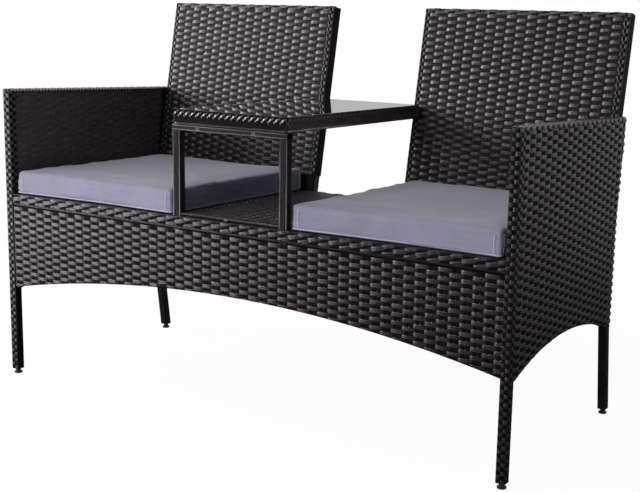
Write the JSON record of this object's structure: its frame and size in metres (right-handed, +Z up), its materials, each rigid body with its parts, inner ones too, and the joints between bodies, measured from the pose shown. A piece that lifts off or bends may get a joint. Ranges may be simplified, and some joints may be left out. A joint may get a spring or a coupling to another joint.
{
  "type": "companion seat bench",
  "caption": "Flat wicker patio bench with separate reclined backrests, arms, loose seat cushions and a glass-topped table with a shelf between the seats.",
  "frame": {"origin": "bottom centre of the bounding box, on the floor", "axes": "+X to the right as seen from in front, +Y from the front to the back, +Z up"},
  "size_m": [1.24, 0.5894, 0.843],
  "materials": {
    "black_frame": "satin black powder coat",
    "wicker": "flat synthetic wicker strand with a soft sheen and fine lengthwise grooves",
    "cushion_fabric": "grey-blue woven polyester",
    "table_glass": "black tempered glass",
    "foot_plastic": "moulded black nylon",
    "plated_steel": "zinc plated",
    "soft_pad": "soft black disc"
  },
  "bodies": {
    "bench_frame": {"apron_arch_rail": "black_frame", "apron_struts": "black_frame", "apron_weave": "wicker", "arm_top_bindings": "wicker", "back_bindings": "wicker", "frame_bolts": "plated_steel", "front_leg_wraps": "wicker", "front_rail_wrap": "wicker", "glass_pads": "soft_pad", "left_arm_inner_weave": "wicker", "left_arm_rail": "black_frame", "left_back_bottom_rail": "black_frame", "left_back_inner_post": "black_frame", "left_back_outer_post": "black_frame", "left_back_top_rail": "black_frame", "left_back_weave": "wicker", "left_front_leg": "black_frame", "left_rear_leg": "black_frame", "left_seat_deck": "wicker", "left_side_arch_rail": "black_frame", "left_side_seat_bearer": "black_frame", "left_side_weave": "wicker", "left_table_post": "wicker", "leg_inserts": "foot_plastic", "right_arm_inner_weave": "wicker", "right_arm_rail": "black_frame", "right_back_bottom_rail": "black_frame", "right_back_inner_post": "black_frame", "right_back_outer_post": "black_frame", "right_back_top_rail": "black_frame", "right_back_weave": "wicker", "right_front_leg": "black_frame", "right_rear_leg": "black_frame", "right_seat_deck": "wicker", "right_side_arch_rail": "black_frame", "right_side_seat_bearer": "black_frame", "right_side_weave": "wicker", "right_table_post": "wicker", "seat_cross_bars": "black_frame", "seat_front_rail": "black_frame", "seat_rear_rail": "black_frame", "seat_side_rails": "black_frame", "shelf_front_lip": "wicker", "table_front_bar": "wicker", "table_front_rail": "black_frame", "table_rear_rail": "black_frame", "table_rim_weave": "wicker", "table_shelf_weave": "wicker", "table_side_rails": "black_frame"},
    "left_cushion": {"left_cushion": "cushion_fabric"},
    "right_cushion": {"right_cushion": "cushion_fabric"},
    "glass_top": {"table_glass": "table_glass"},
    "left_front_glide_pad": {"left_front_glide_pad": "foot_plastic"},
    "left_front_glide_stud": {"left_front_glide_stud": "plated_steel"},
    "left_rear_glide_pad": {"left_rear_glide_pad": "foot_plastic"},
    "left_rear_glide_stud": {"left_rear_glide_stud": "plated_steel"},
    "right_front_glide_pad": {"right_front_glide_pad": "foot_plastic"},
    "right_front_glide_stud": {"right_front_glide_stud": "plated_steel"},
    "right_rear_glide_pad": {"right_rear_glide_pad": "foot_plastic"},
    "right_rear_glide_stud": {"right_rear_glide_stud": "plated_steel"}
  },
  "joints": [
    {"name": "left_cushion_lift", "type": "slide", "parent": "bench_frame", "child": "left_cushion", "axis": [0, 0, 1], "range_m": [0, 0.25]},
    {"name": "right_cushion_lift", "type": "slide", "parent": "bench_frame", "child": "right_cushion", "axis": [0, 0, 1], "range_m": [0, 0.25]},
    {"name": "glass_lift", "type": "slide", "parent": "bench_frame", "child": "glass_top", "axis": [0, 0, 1], "range_m": [0, 0.15]},
    {"name": "left_front_glide_travel", "type": "slide", "parent": "bench_frame", "child": "left_front_glide_pad", "axis": [0, 0, 1], "range_m": [-0.008, 0.0025]},
    {"name": "left_front_glide_screw", "type": "hinge", "parent": "left_front_glide_pad", "child": "left_front_glide_stud", "pos_m": [-0.6102, -0.2849, 0.01], "axis": [0, 0, 1], "range_deg": [-2306, 722]},
    {"name": "left_rear_glide_travel", "type": "slide", "parent": "bench_frame", "child": "left_rear_glide_pad", "axis": [0, 0, 1], "range_m": [-0.008, 0.0025]},
    {"name": "left_rear_glide_screw", "type": "hinge", "parent": "left_rear_glide_pad", "child": "left_rear_glide_stud", "pos_m": [-0.6092, 0.2243, 0.01], "axis": [0, 0, 1], "range_deg": [-2306, 722]},
    {"name": "right_front_glide_travel", "type": "slide", "parent": "bench_frame", "child": "right_front_glide_pad", "axis": [0, 0, 1], "range_m": [-0.008, 0.0025]},
    {"name": "right_front_glide_screw", "type": "hinge", "parent": "right_front_glide_pad", "child": "right_front_glide_stud", "pos_m": [0.6102, -0.2849, 0.01], "axis": [0, 0, 1], "range_deg": [-2306, 722]},
    {"name": "right_rear_glide_travel", "type": "slide", "parent": "bench_frame", "child": "right_rear_glide_pad", "axis": [0, 0, 1], "range_m": [-0.008, 0.0025]},
    {"name": "right_rear_glide_screw", "type": "hinge", "parent": "right_rear_glide_pad", "child": "right_rear_glide_stud", "pos_m": [0.6092, 0.2243, 0.01], "axis": [0, 0, 1], "range_deg": [-2306, 722]}
  ],
  "couplings": [
    {"joint": "left_front_glide_screw", "follows": "left_front_glide_travel", "rad_per_m": 5026.5},
    {"joint": "left_rear_glide_screw", "follows": "left_rear_glide_travel", "rad_per_m": 5026.5},
    {"joint": "right_front_glide_screw", "follows": "right_front_glide_travel", "rad_per_m": 5026.5},
    {"joint": "right_rear_glide_screw", "follows": "right_rear_glide_travel", "rad_per_m": 5026.5}
  ]
}
